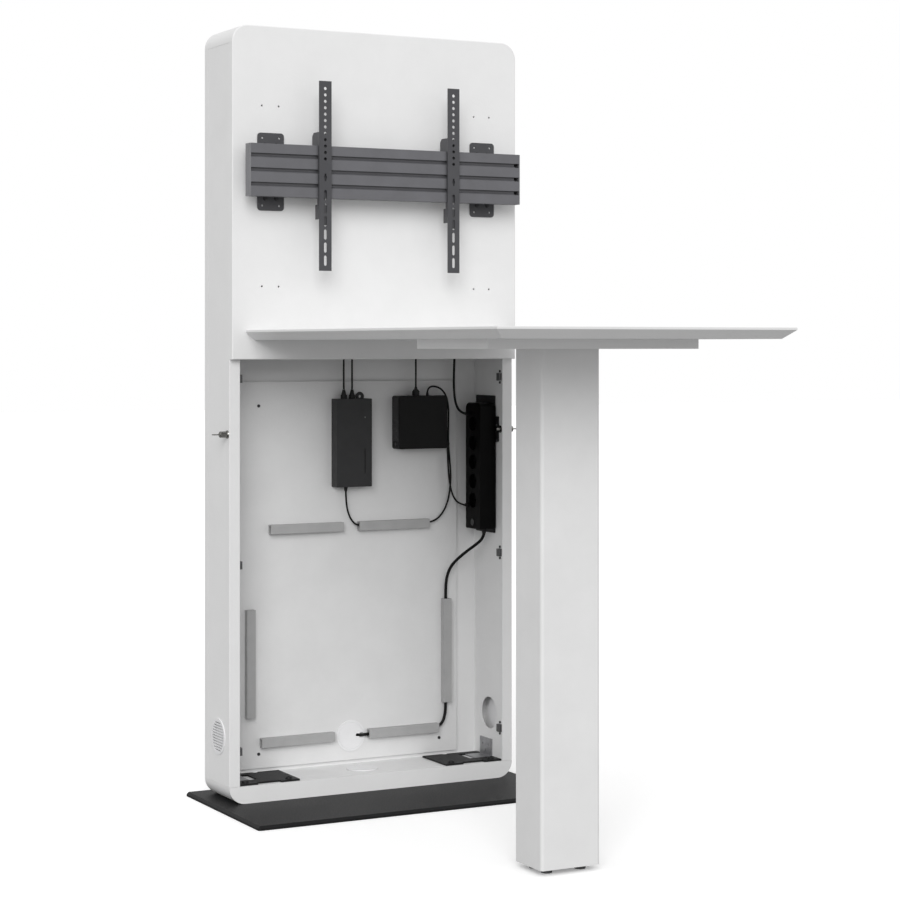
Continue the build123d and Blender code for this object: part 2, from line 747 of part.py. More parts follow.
with BuildPart() as rail_brackets:
    for side in (-1, 1):
        with BuildSketch(Plane.XZ):
            with Locations((side * bracket_x, rail_z)):
                RectangleRounded(rail_bracket_width, rail_bracket_height, rail_bracket_round)
            with Locations(*[(side * bracket_x + dx, rail_z + dz)
                             for dx in (-free_hole_x, free_hole_x) for dz in (-free_hole_z, free_hole_z)]):
                Circle(free_hole_radius, mode=Mode.SUBTRACT)
            with Locations(*bracket_bolts):
                Circle(m6_radius + hole_clear, mode=Mode.SUBTRACT)
        extrude(amount=rail_bracket_thick)
        with BuildSketch(Plane.XY.offset(rail_z - hat_height / 2)):
            with Locations((side * bracket_x, -(rail_bracket_thick + rail_gap) / 2)):
                Rectangle(hat_width, rail_gap - rail_bracket_thick)
            with Locations((side * bracket_x, -(rail_bracket_thick + rail_gap) / 2 + hat_sheet)):
                Rectangle(hat_width - 2 * hat_sheet, rail_gap - rail_bracket_thick, mode=Mode.SUBTRACT)
        extrude(amount=hat_height)
save(rail_brackets, "rail_brackets")

with BuildPart() as rail_bolts:
    for x, z in bracket_bolts:
        with BuildSketch(Plane.XZ.offset(rail_bracket_thick)):
            with Locations((x, z)):
                Circle(m6_head_radius)
        extrude(amount=m6_head, taper=20)
        with BuildSketch(Plane.XZ.offset(rail_bracket_thick)):
            with Locations((x, z)):
                Circle(m6_radius)
        extrude(amount=-(rail_bracket_thick + panel_thick + crossbar + 6))
        with BuildSketch(Plane.XZ.offset(-(panel_thick + crossbar))):
            with Locations((x, z)):
                RegularPolygon(m6_head_radius, 6)
        extrude(amount=-5)
save(rail_bolts, "rail_bolts")

# ==== display strips ==========================================================================
strip_low = rail_z - strip_bottom
strip_high = rail_z + strip_top
flange_back = strip_face + strip_flange
hook_back = rail_back + clear + hook_tooth
box_high = rail_low - latch_box_drop
box_low = box_high - latch_box_height
box_back = strip_face + latch_box_depth
tongue_front = (rail_front + rail_back) / 2 + 2 - latch_tongue / 2
hole_levels = [strip_high - strip_first_hole - n * strip_hole_pitch for n in range(strip_hole_count)]
slot_levels = [strip_low + slot_end + n * slot_pitch for n in range(slot_count)]
for side, name in ((-1, "left"), (1, "right")):
    with BuildPart() as strip:
        with BuildSketch(Plane.XZ.offset(-strip_face)):
            with Locations((side * strip_x, (strip_low + strip_high) / 2)):
                Rectangle(strip_width, strip_high - strip_low)
            with Locations(*[(side * strip_x, z) for z in hole_levels]):
                Circle(strip_hole_radius, mode=Mode.SUBTRACT)
            with Locations(*[(side * strip_x, z) for z in slot_levels]):
                SlotOverall(slot_length, 2 * strip_hole_radius, rotation=90, mode=Mode.SUBTRACT)
            with Locations((side * strip_x, rail_z - keyhole_down)):
                Circle(4, mode=Mode.SUBTRACT)
                Rectangle(4.5, 17, mode=Mode.SUBTRACT)
        extrude(amount=-strip_sheet)
        for cheek in (-1, 1):
            with BuildSketch(Plane.YZ.offset(side * strip_x + cheek * strip_width / 2)):
                with BuildLine():
                    Polyline(
                        (strip_face, box_low),
                        (box_back, box_low),
                        (box_back, box_high),
                        (flange_back, box_high),
                        (flange_back, rail_low - clear),
                        (rail_front - clear, rail_low - clear),
                        (rail_front - clear, rail_top + clear),
                        (rail_back + clear, rail_top + clear),
                        (rail_back + clear, rail_top - hook_drop),
                        (hook_back, rail_top - hook_drop),
                        (hook_back, rail_top + hook_rise - hook_chamfer),
                        (hook_back - hook_chamfer, rail_top + hook_rise),
                        (strip_face, rail_top + hook_rise),
                        close=True,
                    )
                make_face()
            extrude(amount=-cheek * strip_sheet)
            with BuildSketch(Plane.XY.offset(box_low)):
                with Locations((side * strip_x + cheek * (strip_width / 2 - latch_lip / 2),
                                box_back - strip_sheet / 2)):
                    Rectangle(latch_lip, strip_sheet)
            extrude(amount=latch_box_height)
        with BuildSketch(Plane.XZ.offset(-hook_back)):
            with Locations((side * strip_x, rail_top + clear + (hook_rise - hook_chamfer - clear) / 2)):
                Rectangle(strip_width, hook_rise - hook_chamfer - clear)
        extrude(amount=strip_sheet)
    save(strip, f"strip_{name}")

    with BuildPart() as strip_latch:
        with BuildSketch(Plane.XY.offset(box_low + 1)):
            with Locations((side * strip_x, (strip_face + strip_sheet + box_back - strip_sheet) / 2)):
                Rectangle(strip_width - 2 * strip_sheet - 2 * clear,
                          latch_box_depth - 2 * strip_sheet - 2 * clear)
        extrude(amount=latch_box_height - 2)
        with BuildSketch(Plane.XY.offset(box_low + 1)):
            with Locations((side * strip_x, tongue_front + latch_tongue / 2)):
                Rectangle(16, latch_tongue)
        extrude(amount=latch_box_height + latch_box_drop + latch_reach - 1)
        with BuildSketch(Plane.XY.offset(box_low - 14)):
            with Locations((side * strip_x, strip_face + strip_sheet + clear + 2)):
                Rectangle(9, 3)
        extrude(amount=16)
    save(strip_latch, f"strip_latch_{name}")

# ==== standing table ==========================================================================
with BuildPart() as tabletop:
    with BuildSketch(Plane.XY.offset(table_low)):
        with Locations((0, -(table_length - table_undercut) / 2)):
            Rectangle(table_width - 2 * table_undercut, table_length - table_undercut)
    with BuildSketch(Plane.XY.offset(table_top - table_edge)):
        with Locations((0, -table_length / 2)):
            Rectangle(table_width, table_length)
    loft()
    with BuildSketch(Plane.XY.offset(table_top - table_edge)):
        with Locations((0, -table_length / 2)):
            Rectangle(table_width, table_length)
    extrude(amount=table_edge)
    fillet(tabletop.faces().sort_by(Axis.Z)[-1].edges().sort_by(Axis.Y)[:3], 1.2)
    with BuildSketch(Plane.XZ):
        with Locations(*[(x, table_bolt_z) for x in table_bolt_x]):
            Circle(table_bolt_radius + hole_clear)
    extrude(amount=table_bolt_grip + 1, mode=Mode.SUBTRACT)
save(tabletop, "tabletop")

head_screws = [(dx, -leg_y + dy) for dx in (-220, 0, 220) for dy in (-130, 130)]
with BuildPart() as table_head_plate:
    with BuildSketch(Plane.XY.offset(head_low)):
        with Locations((0, -leg_y)):
            RectangleRounded(head_width, head_depth, 4)
        with Locations(*head_screws):
            Circle(screw_radius + 1 + hole_clear, mode=Mode.SUBTRACT)
    extrude(amount=head_thick)
    with BuildSketch(Plane.XY.offset(head_low)):
        with Locations(*head_screws):
            Circle(screw_head_radius + 1 + hole_clear)
    extrude(amount=screw_head, mode=Mode.SUBTRACT)
save(table_head_plate, "table_head_plate")

with BuildPart() as head_plate_screws:
    for x, y in head_screws:
        with BuildSketch(Plane.XY.offset(head_low)):
            with Locations((x, y)):
                Circle(screw_head_radius + 1)
        extrude(amount=screw_head)
        with BuildSketch(Plane.XY.offset(head_low)):
            with Locations((x, y)):
                Circle(screw_radius + 1)
        extrude(amount=head_thick)
save(head_plate_screws, "head_plate_screws")

glides = [(sx * glide_x, -leg_y + sy * glide_y) for sx in (-1, 1) for sy in (-1, 1)]
sole_z = leg_lift + leg_sole_up
with BuildPart() as table_leg:
    with BuildSketch(Plane.XY.offset(leg_lift)):
        with Locations((0, -leg_y)):
            RectangleRounded(leg_width, leg_depth, leg_round)
            RectangleRounded(leg_width - 2 * leg_wall, leg_depth - 2 * leg_wall, leg_round - leg_wall,
                             mode=Mode.SUBTRACT)
    extrude(amount=head_low - leg_lift)
    for low in (sole_z, head_low - leg_sole):
        with BuildSketch(Plane.XY.offset(low)):
            with Locations((0, -leg_y)):
                RectangleRounded(leg_width - leg_wall, leg_depth - leg_wall, leg_round - leg_wall)
        extrude(amount=leg_sole)
    with BuildSketch(Plane.XY.offset(sole_z)):
        with Locations(*glides):
            Circle(glide_stem_radius + glide_stem_clear)
    extrude(amount=leg_sole, mode=Mode.SUBTRACT)
save(table_leg, "table_leg")

for (x, y), name in zip(glides, ("front_left", "rear_left", "front_right", "rear_right")):
    with BuildPart() as leg_glide:
        with BuildSketch(Plane.XY):
            with Locations((x, y)):
                Circle(glide_radius)
        extrude(amount=glide_foot)
        fillet(leg_glide.edges().filter_by(GeomType.CIRCLE), 1.2)
        with BuildSketch(Plane.XY.offset(glide_foot)):
            with Locations((x, y)):
                RegularPolygon(6, 6)
        extrude(amount=sole_z - glide_foot - clear)
        with BuildSketch(Plane.XY.offset(glide_foot)):
            with Locations((x, y)):
                Circle(glide_stem_radius)
        extrude(amount=glide_stem)
    save(leg_glide, f"leg_glide_{name}")

with BuildPart() as table_bolts:
    for x in table_bolt_x:
        with BuildSketch(Plane.XZ.offset(-(body_front + crossbar))):
            with Locations((x, table_bolt_z)):
                RegularPolygon(table_bolt_head_radius, 6)
        extrude(amount=-table_bolt_head)
        with BuildSketch(Plane.XZ.offset(-(body_front + crossbar))):
            with Locations((x, table_bolt_z)):
                Circle(table_bolt_radius)
        extrude(amount=body_front + crossbar + table_bolt_grip)
save(table_bolts, "table_bolts")

# ==== cable ducts =============================================================================
def spans(width):
    """Centre and size, seen from the front, of one outline in each duct."""
    return [((x, ground + up), (width, length) if upright else (length, width))
            for x, up, length, upright in ducts]


with BuildPart() as duct_bases:
    for centre, size in spans(duct_width - 2 * duct_sheet):
        with BuildSketch(Plane.XZ.offset(-board_front)):
            with Locations(centre):
                Rectangle(*size)
        extrude(amount=duct_depth - duct_sheet)
    for centre, size in spans(duct_width - 4 * duct_sheet):
        with BuildSketch(Plane.XZ.offset(duct_sheet - board_front)):
            with Locations(centre):
                Rectangle(*size)
        extrude(amount=duct_depth, mode=Mode.SUBTRACT)
save(duct_bases, "duct_bases")

with BuildPart() as duct_covers:
    for centre, size in spans(duct_width):
        with BuildSketch(Plane.XZ.offset(1 - board_front)):
            with Locations(centre):
                Rectangle(*size)
        extrude(amount=duct_depth - 1)
    for centre, size in spans(duct_width - 2 * duct_sheet):
        with BuildSketch(Plane.XZ.offset(-board_front)):
            with Locations(centre):
                Rectangle(*size)
        extrude(amount=duct_depth - duct_sheet, mode=Mode.SUBTRACT)
save(duct_covers, "duct_covers")

# ==== power supply ============================================================================
psu_z = ground + psu_low
psu_top = psu_z + psu_height
psu_front = board_front - psu_depth
psu_mid = board_front - psu_depth / 2
with BuildPart() as psu_case:
    with BuildSketch(Plane.XZ.offset(-board_front)):
        with Locations((psu_x, psu_z + psu_height / 2)):
            RectangleRounded(psu_width, psu_height, 2)
    extrude(amount=psu_depth)
    fillet(psu_case.faces().sort_by(Axis.Y)[0].edges(), 1)
    with BuildSketch(Plane.XZ.offset(-board_front)):
        with Locations((psu_ear_x, psu_top + psu_ear_up)):
            Circle(psu_ear_radius)
            Circle(psu_ear_hole, mode=Mode.SUBTRACT)
    extrude(amount=2.5)
    with BuildSketch(Plane.XZ.offset(-psu_front)):
        with Locations((psu_x + psu_slit_x, psu_z + psu_slit_up)):
            SlotOverall(psu_slit_length, 3.4, rotation=90)
    extrude(amount=-2, mode=Mode.SUBTRACT)
save(psu_case, "psu_case")

# ==== small computer ==========================================================================
pc_z = ground + pc_low
pc_top = pc_z + pc_height
pc_front = board_front - pc_depth
pc_mid = board_front - pc_depth / 2
pc_left = pc_x - pc_width / 2
pc_right = pc_x + pc_width / 2
button_z = pc_z + pc_button_up
with BuildPart() as pc_case:
    with BuildSketch(Plane.XZ.offset(-board_front)):
        with Locations((pc_x, pc_z + pc_height / 2)):
            RectangleRounded(pc_width, pc_height, pc_round)
    extrude(amount=pc_depth)
    fillet(pc_case.faces().sort_by(Axis.Y)[0].edges(), 1.5)
    with BuildSketch(Plane.YZ.offset(pc_left)):
        for start in (30, 68):
            for n in range(7):
                with Locations((pc_mid, pc_z + start + 4.6 * n)):
                    SlotOverall(22, 2)
    extrude(amount=3, mode=Mode.SUBTRACT)
    with BuildSketch(Plane.YZ.offset(pc_left)):
        with Locations((pc_mid, button_z)):
            Circle(pc_button_radius + clear)
    extrude(amount=6, mode=Mode.SUBTRACT)
save(pc_case, "pc_case")

with BuildPart() as pc_button:
    with BuildSketch(Plane.YZ.offset(pc_left - 0.6)):
        with Locations((pc_mid, button_z)):
            Circle(pc_button_radius)
    extrude(amount=6.6 - pc_button_travel - clear)
    fillet(pc_button.faces().sort_by(Axis.X)[0].edges(), 0.4)
save(pc_button, "pc_button")

# ==== power strip on its plate ================================================================
box_z = ground + strip_box_low
box_top = box_z + strip_box_height
box_left = inner_x - plate_thick - strip_box_thick
box_y = strip_box_front + strip_box_depth / 2
with BuildPart() as power_strip_plate:
    with BuildSketch(Plane.YZ.offset(inner_x)):
        with Locations((plate_front + plate_depth / 2, ground + plate_low + plate_height / 2)):
            RectangleRounded(plate_depth, plate_height, 3)
    extrude(amount=-plate_thick)
save(power_strip_plate, "power_strip_plate")

outlets = [(box_y, box_top - 52 - n * outlet_pitch) for n in range(outlet_count)]
with BuildPart() as power_strip_case:
    with BuildSketch(Plane.YZ.offset(inner_x - plate_thick)) as outline:
        with Locations((box_y, box_z + strip_box_height / 2)):
            Rectangle(strip_box_depth, strip_box_height)
        fillet(outline.vertices().group_by(Axis.Y)[-1], strip_box_round)
        fillet(outline.vertices().group_by(Axis.Y)[0], 4)
    extrude(amount=-strip_box_thick)
    fillet(power_strip_case.faces().sort_by(Axis.X)[0].edges(), 2)
    with BuildSketch(Plane.YZ.offset(box_left)):
        with Locations(*outlets):
            Circle(outlet_radius)
    extrude(amount=outlet_depth, mode=Mode.SUBTRACT)
    with BuildSketch(Plane.YZ.offset(box_left + outlet_depth)):
        with Locations(*outlets):
            with Locations((-9.5, 0), (9.5, 0)):
                Circle(2.6)
    extrude(amount=14, mode=Mode.SUBTRACT)
    with BuildSketch(Plane.YZ.offset(box_left)):
        with Locations((box_y, box_z + button_up)):
            Circle(button_radius + clear)
    extrude(amount=10, mode=Mode.SUBTRACT)
save(power_strip_case, "power_strip_case")

with BuildPart() as power_strip_button:
    with BuildSketch(Plane.YZ.offset(box_left - 2)):
        with Locations((box_y, box_z + button_up)):
            Circle(button_radius)
    extrude(amount=12 - button_travel - clear)
    fillet(power_strip_button.faces().sort_by(Axis.X)[0].edges(), 1.2)
save(power_strip_button, "power_strip_button")

# ==== strain reliefs and small plugs ==========================================================
side_plug = (pc_right + pc_plug_elbow, pc_mid - 6, pc_top - pc_plug_down)
link_port = (pc_link_x, pc_mid, pc_top)
mains_gland = (331.0, 76.0, box_z)
upper_gland = (box_left, 110.0, box_top - 28.0)
lower_gland = (box_left, 112.0, box_z + 58.0)
with BuildPart() as lead_plugs:
    for x in psu_lead_x:
        with BuildSketch(Plane.XY.offset(psu_top)):
            with Locations((x, psu_mid)):
                Circle(8)
        extrude(amount=9, taper=12)
        with BuildSketch(Plane.XY.offset(psu_top)):
            with Locations((x, psu_mid)):
                Circle(4.6)
        extrude(amount=relief_length)
    with BuildSketch(Plane.XY.offset(psu_z)):
        with Locations((psu_tail_x, psu_mid)):
            Circle(5.5)
    extrude(amount=-tail_relief_length, taper=10)
    with BuildSketch(Plane.XY.offset(pc_top)):
        with Locations((pc_display_x, pc_mid)):
            RectangleRounded(15, 12, 2)
    extrude(amount=15)
    with BuildSketch(Plane.XY.offset(pc_top + 15)):
        with Locations((pc_display_x, pc_mid)):
            Circle(4.4)
    extrude(amount=6)
    with BuildSketch(Plane.XY.offset(pc_top)):
        with Locations((pc_link_x, pc_mid)):
            Circle(3.6)
    extrude(amount=8)
    with BuildSketch(Plane.YZ.offset(pc_right)):
        with Locations((side_plug[1], side_plug[2])):
            Circle(4.6)
    extrude(amount=pc_plug_out)
    with BuildSketch(Plane.XY.offset(side_plug[2])):
        with Locations((side_plug[0], side_plug[1])):
            Circle(3.8)
    extrude(amount=-10)
    with BuildSketch(Plane.XY.offset(mains_gland[2])):
        with Locations((mains_gland[0], mains_gland[1])):
            Circle(gland_radius)
    extrude(amount=-gland_length, taper=8)
    for gland in (upper_gland, lower_gland):
        with BuildSketch(Plane.YZ.offset(gland[0])):
            with Locations((gland[1], gland[2])):
                Circle(gland_radius - 1.5)
        extrude(amount=-socket_gland_length, taper=6)
save(lead_plugs, "lead_plugs")

# ==== coupler bar behind the upper panel ======================================================
coupler_z = ground + coupler_low
with BuildPart() as coupler_bar:
    with BuildSketch(Plane.XY.offset(coupler_z)):
        with Locations(((coupler_left + coupler_right) / 2, cab_back - rear_skin - coupler_depth / 2)):
            RectangleRounded(coupler_right - coupler_left, coupler_depth, 2)
    extrude(amount=coupler_height)
save(coupler_bar, "coupler_bar")


# ==== leads ===================================================================================
def corner_radii(points):
    """One bend radius for each inner point: as large as the two runs beside it allow."""
    radii = []
    for before, here, after in zip(points, points[1:], points[2:]):
        first, second = Vector(here) - Vector(before), Vector(after) - Vector(here)
        half_turn = math.radians(first.get_angle(second)) / 2
        radii.append(0.45 * min(first.length, second.length) / math.tan(half_turn))
    return radii


def lead(name, routes, size):
    """One round lead: each route is straight runs joined by tangent arcs."""
    total = 0.0
    with BuildPart() as tube:
        for points in routes:
            radii = corner_radii(points)
            with BuildLine():
                route = FilletPolyline(*points, radius=radii) if radii else Line(*points)
            with BuildSketch(Plane(route @ 0, z_dir=route % 0)):
                Circle(size / 2)
            sweep(path=route)
            total += route.length
            print(f"{name}: length {route.length:.0f} mm, radii "
                  + " ".join(f"{radius:.0f}" for radius in radii))
    share = tube.part.volume / (math.pi * size ** 2 / 4 * total)
    print(f"{name}: volume over section times length {share:.4f}")
    save(tube, name)


for x, name in zip(psu_lead_x, ("lead_supply_a", "lead_supply_b")):
    lead(name, [[(x, psu_mid, psu_top + relief_length), (x, psu_mid, coupler_z)]], thin_lead)
lead("lead_display", [[(pc_display_x, pc_mid, pc_top + 21), (pc_display_x, pc_mid, coupler_z)]], thin_lead)

lead("lead_strip_upper", [[
    (293, 139, coupler_z), (287.5, 138, 1135), (281.5, 136.5, 1082), (278, 135.5, 1028), (276.5, 134.5, 974),
    (279.5, 132, 938), (286, 121, 915), (upper_gland[0] - socket_gland_length, 110, box_top - 28),
]], strip_lead)

lead("lead_link", [[
    (psu_tail_x, psu_mid, psu_z - tail_relief_length), (-19.5, 140.5, 700), (-14, 143, 674),
    (-3, 145.5, 652), (14, duct_mid, 638), (60, duct_mid, 637), (110, duct_mid, 638),
    (160, duct_mid, 637), (206, duct_mid, 638), (234, 146.5, 644), (257, 146, 668), (270, 146, 704),
    (275, 146, 752), (271, 146, 797), (266.5, 146, 842), (267.5, 145, 887), (266.5, 143, 927),
    (258, 140, 957), (241, 137, 975), (219, 135.5, 981), (204, 135, 976), (pc_link_x, pc_mid, pc_top + 8),
]], thin_lead)

lead("lead_computer", [[
    (side_plug[0], side_plug[1], side_plug[2] - 10), (256.5, 128.5, 800), (258, 128, 768),
    (261, 126, 733), (267, 121, 704), (279, 115.5, 686), (lower_gland[0] - socket_gland_length, 112, box_z + 58),
]], thin_lead)

lead("mains_lead", [[
    (331, 76, box_z - gland_length), (330, 78.5, 601), (322, 88, 588), (305, 109, 569), (285, 128, 547),
    (269, 141, 524), (261, duct_mid, 493), (260, duct_mid, 446), (261, duct_mid, 380),
    (260.5, duct_mid, 310), (261, duct_mid, 240), (260.5, duct_mid, 190), (259, duct_mid, 155),
    (250, duct_mid, 132),
    (230, duct_mid, 123.8), (190, duct_mid, 124.5), (140, duct_mid, 123.5), (95, duct_mid, 124.4),
    (52, duct_mid - 0.5, 123.5), (26, 150, 121), (15, 167, 120.5), (14, 186, 117), (14, 198, 101),
    (14.5, 202, 78), (14.5, 207, 55),
    (13.5, 219, 35), (11, 238, 18), (8, 260, 7), (coil_x - coil_mean, 281, 4),
], [
    (coil_x + coil_reach - 3, coil_y + coil_mean, tail_z), (plug_x, coil_y + coil_mean, tail_z),
]], mains_lead_size)

with BuildPart() as mains_coil:
    with BuildSketch(Plane.XY):
        with Locations((coil_x, coil_y)):
            Circle(coil_mean + coil_half_band)
            Circle(coil_mean - coil_half_band, mode=Mode.SUBTRACT)
    extrude(amount=coil_height)
    fillet(mains_coil.edges().filter_by(GeomType.CIRCLE), 3)
save(mains_coil, "mains_coil")

with BuildPart() as mains_plug:
    with BuildSketch(Plane.YZ.offset(plug_x)):
        with Locations((coil_y + coil_mean, tail_z)):
            Circle(mains_lead_size / 2 + 0.8)
    with BuildSketch(Plane.YZ.offset(plug_x + plug_relief)):
        with Locations((coil_y + coil_mean, tail_z)):
            Circle(mains_lead_size / 2 + 2.8)
    loft()
    with BuildSketch(Plane.YZ.offset(plug_x + plug_relief)):
        with Locations((coil_y + coil_mean, tail_z)):
            RectangleRounded(plug_width, plug_height, 6)
    extrude(amount=plug_length)
    fillet(mains_plug.faces().sort_by(Axis.X)[-1].edges(), 2)
    with BuildSketch(Plane.YZ.offset(plug_x + plug_relief + plug_length)):
        with Locations((coil_y + coil_mean - pin_pitch / 2, tail_z), (coil_y + coil_mean + pin_pitch / 2, tail_z)):
            Circle(pin_radius)
    extrude(amount=pin_length)
save(mains_plug, "mains_plug")
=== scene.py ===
"""A display cabinet with a television rail, an open equipment bay and a docked standing table, as it stands
new in a showroom. Metres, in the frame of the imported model."""
import math

import bmesh
import bpy
from mathutils import Matrix, Vector


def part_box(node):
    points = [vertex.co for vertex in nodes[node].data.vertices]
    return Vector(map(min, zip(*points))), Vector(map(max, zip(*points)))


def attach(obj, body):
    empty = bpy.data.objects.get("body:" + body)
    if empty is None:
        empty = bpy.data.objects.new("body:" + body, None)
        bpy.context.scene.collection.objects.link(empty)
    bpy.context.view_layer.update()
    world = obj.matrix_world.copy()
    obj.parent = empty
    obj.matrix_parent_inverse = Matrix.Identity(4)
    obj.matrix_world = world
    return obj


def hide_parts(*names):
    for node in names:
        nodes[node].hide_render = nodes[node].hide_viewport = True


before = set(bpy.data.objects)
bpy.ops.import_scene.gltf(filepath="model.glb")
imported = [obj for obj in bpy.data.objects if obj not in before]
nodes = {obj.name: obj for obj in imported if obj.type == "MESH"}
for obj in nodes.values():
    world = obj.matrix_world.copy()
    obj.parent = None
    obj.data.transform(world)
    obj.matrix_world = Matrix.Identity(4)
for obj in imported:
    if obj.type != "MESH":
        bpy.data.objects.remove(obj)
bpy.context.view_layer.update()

# ==== White cabinet shell =====================================================================
# Folded sheet steel and two flat panels, powder coated in one white. The powder melts into a skin with a
# fine orange peel, so the light on it breaks up softly and edges of panels stay crisp.


def linear(colour):
    """An sRGB hex colour as the linear colour that a shader takes."""
    channels = [int(colour[i:i + 2], 16) / 255 for i in (1, 3, 5)]
    return [c / 12.92 if c <= 0.04045 else ((c + 0.055) / 1.055) ** 2.4 for c in channels] + [1.0]


def add(material, kind, settings=None, links=None):
    """One more node: its settings by name, and its links as {input: (node, output)}."""
    node = material.node_tree.nodes.new(kind)
    for name, value in (settings or {}).items():
        if isinstance(name, int) or name in node.inputs:
            node.inputs[name].default_value = value
        else:
            setattr(node, name, value)
    for name, (source, output) in (links or {}).items():
        material.node_tree.links.new(source.outputs[output], node.inputs[name])
    return node


def start(name, colour, roughness, settings=None):
    """A new material with its shader, and the place on the piece that its patterns follow."""
    material = bpy.data.materials.new(name)
    material.use_nodes = True
    shader = material.node_tree.nodes["Principled BSDF"]
    shader.inputs["Base Color"].default_value = linear(colour)
    shader.inputs["Roughness"].default_value = roughness
    for key, value in (settings or {}).items():
        shader.inputs[key].default_value = value
    return material, shader, add(material, "ShaderNodeTexCoord")


def per_metre(millimetres):
    """Texture scale that gives a pattern of this size."""
    return 1000 / millimetres


def mottle(material, shader, place, colours, size, spread):
    """The colour drifts a little over the surface, as paint and plastic do over a hand's width."""
    drift = add(material, "ShaderNodeTexNoise", {"Scale": per_metre(size), "Detail": 3.0, "Roughness": 0.6},
                {"Vector": (place, "Object")})
    ramp = add(material, "ShaderNodeValToRGB", links={"Fac": (drift, "Fac")})
    low, high = ramp.color_ramp.elements
    low.position, high.position = 0.5 - spread, 0.5 + spread
    low.color, high.color = linear(colours[0]), linear(colours[1])
    material.node_tree.links.new(ramp.outputs["Color"], shader.inputs["Base Color"])
    return drift


def polish(material, shader, source, low, high):
    """Roughness that follows a pattern between two values."""
    limits = {"From Min": 0.3, "From Max": 0.7, "To Min": low, "To Max": high}
    span = add(material, "ShaderNodeMapRange", limits, {"Value": (source, "Fac")})
    material.node_tree.links.new(span.outputs["Result"], shader.inputs["Roughness"])


def relieve(material, shader, source, output, depth, strength):
    """The pattern stands up from the surface by this many millimetres."""
    bump = add(material, "ShaderNodeBump", {"Distance": depth / 1000, "Strength": strength},
               {"Height": (source, output)})
    material.node_tree.links.new(bump.outputs["Normal"], shader.inputs["Normal"])


def powder_coat(name, colours, peel, depth, roughness, settings=None):
    """Powder coat on steel: an orange peel of the given size in millimetres over a barely mottled colour."""
    material, shader, place = start(name, colours[1], roughness, settings)
    mottle(material, shader, place, colours, 90, 0.25)
    grain = add(material, "ShaderNodeTexNoise", {"Scale": per_metre(peel), "Detail": 4.0, "Roughness": 0.55},
                {"Vector": (place, "Object")})
    polish(material, shader, grain, roughness - 0.06, roughness + 0.08)
    relieve(material, shader, grain, "Fac", depth, 1.0)
    return material


def finish_nodes(material, slot, *names):
    """Give pieces of the frame their material; the finish slot argument is not used."""
    for name in names:
        piece = nodes[name]
        piece.data.materials.clear()
        piece.data.materials.append(material)


white_powder_coat = powder_coat("white_powder_coat", ("#E2E2E2", "#E6E6E6"), 5.0, 0.16, 0.5)
finish_nodes(white_powder_coat, "white_coat", "bottom_cap", "top_cap", "side_panel_left", "side_panel_right")
finish_nodes(white_powder_coat, "white_board", "rear_panel", "front_panel")

# ==== Mounting board in the bay ===============================================================
# Hard board with the same white finish in a coarser texture; it takes the screws of everything in the bay.
# Its coarse peel catches the side light, so it reads duller than the panels around it.
board_coat = powder_coat("board_coat", ("#DADADA", "#E0E0E0"), 7.0, 0.3, 0.6)
finish_nodes(board_coat, "white_board", "mounting_board")

# ==== Base plate and bay feet =================================================================
# Thick flame-cut steel with milled edges, in a fine black structure coat. The power strip hangs on a thinner
# plate in a smoother black.
black_structure_coat = powder_coat("black_structure_coat", ("#121213", "#19191A"), 3.2, 0.2, 0.52,
                                   {"Specular IOR Level": 0.25})
finish_nodes(black_structure_coat, "black_steel", "base_plate", "foot_plates", "floor_bolts", "strike_plates")
strip_plate_coat = powder_coat("strip_plate_coat", ("#151516", "#1B1B1C"), 3.2, 0.1, 0.5,
                               {"Specular IOR Level": 0.25})
finish_nodes(strip_plate_coat, "black_steel", "power_strip_plate")

# ==== Zinc-plated steel =======================================================================
# Angle brackets, table bolts and crossbars: cold-rolled steel with a thin blue-white zinc layer, dull and
# cloudy.
zinc_plate, zinc_shader, zinc_place = start("zinc_plate", "#A9A9AB", 0.38, {"Metallic": 1.0})
zinc_cloud = mottle(zinc_plate, zinc_shader, zinc_place, ("#98989B", "#B4B4B6"), 14, 0.2)
polish(zinc_plate, zinc_shader, zinc_cloud, 0.32, 0.48)
finish_nodes(zinc_plate, "zinc_steel", "angle_brackets", "head_plate_screws", "table_bolts", "crossbars")
# The screws' heads have a darker, passivated layer.
screw_steel, screw_shader, screw_place = start("screw_steel", "#4C4C4E", 0.4, {"Metallic": 1.0})
screw_cloud = mottle(screw_steel, screw_shader, screw_place, ("#434345", "#565658"), 3, 0.2)
polish(screw_steel, screw_shader, screw_cloud, 0.34, 0.5)
finish_nodes(screw_steel, "zinc_steel", "cabinet_screws", "rail_bolts")

# ==== Television rail =========================================================================
# Extruded aluminium with a dark grey satin coat; the die leaves faint lines along its length. The brackets
# and the two hanging strips are powder coated darker. The moulded end caps are a shade lighter than the rail,
# the strips' latches darker.
rail_coat, rail_shader, rail_place = start("rail_coat", "#66666A", 0.42)
rail_cloud = mottle(rail_coat, rail_shader, rail_place, ("#5E5E61", "#66666A"), 60, 0.25)
polish(rail_coat, rail_shader, rail_cloud, 0.36, 0.46)
rail_stretch = add(rail_coat, "ShaderNodeMapping", {"Scale": (0.004, 1.0, 1.0)},
                   {"Vector": (rail_place, "Object")})
die_lines = add(rail_coat, "ShaderNodeTexNoise", {"Scale": per_metre(1.6), "Detail": 2.0},
                {"Vector": (rail_stretch, "Vector")})
relieve(rail_coat, rail_shader, die_lines, "Fac", 0.05, 0.6)
